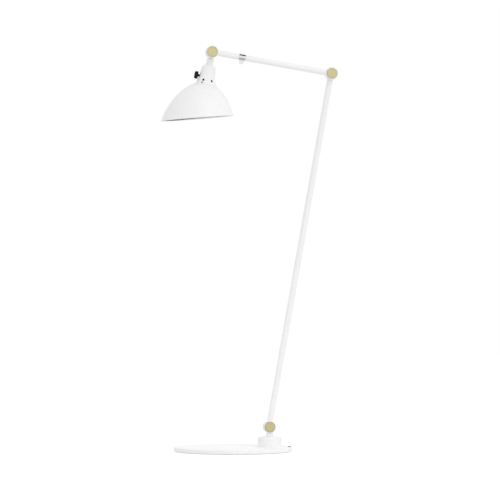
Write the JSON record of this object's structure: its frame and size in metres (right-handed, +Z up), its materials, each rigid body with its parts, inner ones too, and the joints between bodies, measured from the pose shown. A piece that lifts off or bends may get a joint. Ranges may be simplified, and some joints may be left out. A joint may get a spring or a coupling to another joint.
{
  "type": "floor lamp",
  "caption": "Floor lamp with a round base, tube arms on brass-capped friction joints, and a tilting bowl shade with a rotary switch on its neck.",
  "frame": {"origin": "centre of the base's underside, on the floor", "axes": "+Z up, +X from the base's centre towards the hub, +Y away from the viewer"},
  "size_m": [0.472, 0.316, 1.0809],
  "materials": {
    "white_paint": "satin",
    "felt": "matte",
    "black_rubber": "matte",
    "turned_brass": "satin",
    "drawn_brass": "satin",
    "polished_chrome": "polished",
    "steel": "satin",
    "friction_fibre": "matte",
    "black_plastic": "gloss",
    "black_thermoset": "satin",
    "blackened_steel": "satin",
    "white_plastic": "satin"
  },
  "bodies": {
    "base": {"base_plate": "white_paint", "base_pad": "felt", "cord_outlet": "black_rubber", "hub": "white_paint", "hub_screws": "steel", "swivel_bush": "white_plastic", "swivel_stop_pin": "steel"},
    "swivel": {"swivel_stem": "white_paint", "swivel_washer": "steel", "swivel_nut": "steel", "base_joint_bolt": "steel", "base_joint_friction_disc": "friction_fibre", "base_joint_springs": "steel", "base_joint_nut": "steel", "base_joint_front_cap": "turned_brass"},
    "lower_arm": {"lower_foot_knuckle": "white_paint", "lower_elbow_knuckle": "white_paint", "lower_tube": "white_paint", "lower_lead": "black_rubber", "base_joint_rear_cap": "turned_brass", "elbow_joint_rear_cap": "turned_brass"},
    "upper_arm": {"upper_elbow_knuckle": "white_paint", "upper_head_knuckle": "white_paint", "upper_tube": "white_paint", "upper_lead": "black_rubber", "arm_collar": "polished_chrome", "collar_screw": "polished_chrome", "elbow_joint_bolt": "steel", "elbow_joint_friction_disc": "friction_fibre", "elbow_joint_springs": "steel", "elbow_joint_nut": "steel", "elbow_joint_front_cap": "turned_brass", "head_joint_bolt": "steel", "head_joint_friction_disc": "friction_fibre", "head_joint_springs": "steel", "head_joint_nut": "steel", "head_joint_front_cap": "turned_brass"},
    "head_stem": {"head_knuckle": "white_paint", "head_nipple": "steel", "nipple_washer": "steel", "nipple_nut": "steel", "head_joint_rear_cap": "turned_brass"},
    "head": {"neck_cover": "white_paint", "neck_screws": "blackened_steel", "lampholder_body": "black_thermoset", "lampholder_shell": "drawn_brass", "lampholder_contact": "drawn_brass", "shade": "white_paint", "shade_ring": "white_plastic", "switch_bush": "black_plastic"},
    "switch": {"switch_shaft": "steel", "switch_knob": "black_plastic"}
  },
  "joints": [
    {"name": "base_swivel", "type": "hinge", "parent": "base", "child": "swivel", "pos_m": [0.098, 0, 0.0385], "axis": [0, 0, 1], "range_deg": [-165, 165]},
    {"name": "base_tilt", "type": "hinge", "parent": "swivel", "child": "lower_arm", "pos_m": [0.098, 0.009, 0.065], "axis": [0, 1, 0], "range_deg": [-70, 35]},
    {"name": "elbow", "type": "hinge", "parent": "lower_arm", "child": "upper_arm", "pos_m": [0.26418, 0.009, 1.00746], "axis": [0, 1, 0], "range_deg": [-40, 88]},
    {"name": "head_tilt", "type": "hinge", "parent": "upper_arm", "child": "head_stem", "pos_m": [-0.05588, 0.009, 1.0639], "axis": [0, 1, 0], "range_deg": [-40, 110]},
    {"name": "head_turn", "type": "hinge", "parent": "head_stem", "child": "head", "pos_m": [-0.06187, 0.01805, 1.02992], "axis": [-0.1736, 0, -0.9848], "range_deg": [-165, 165]},
    {"name": "switch_turn", "type": "hinge", "parent": "head", "child": "switch", "pos_m": [-0.06746, 0.01805, 0.99821], "axis": [-0.9848, 0, 0.1736], "continuous": true}
  ]
}
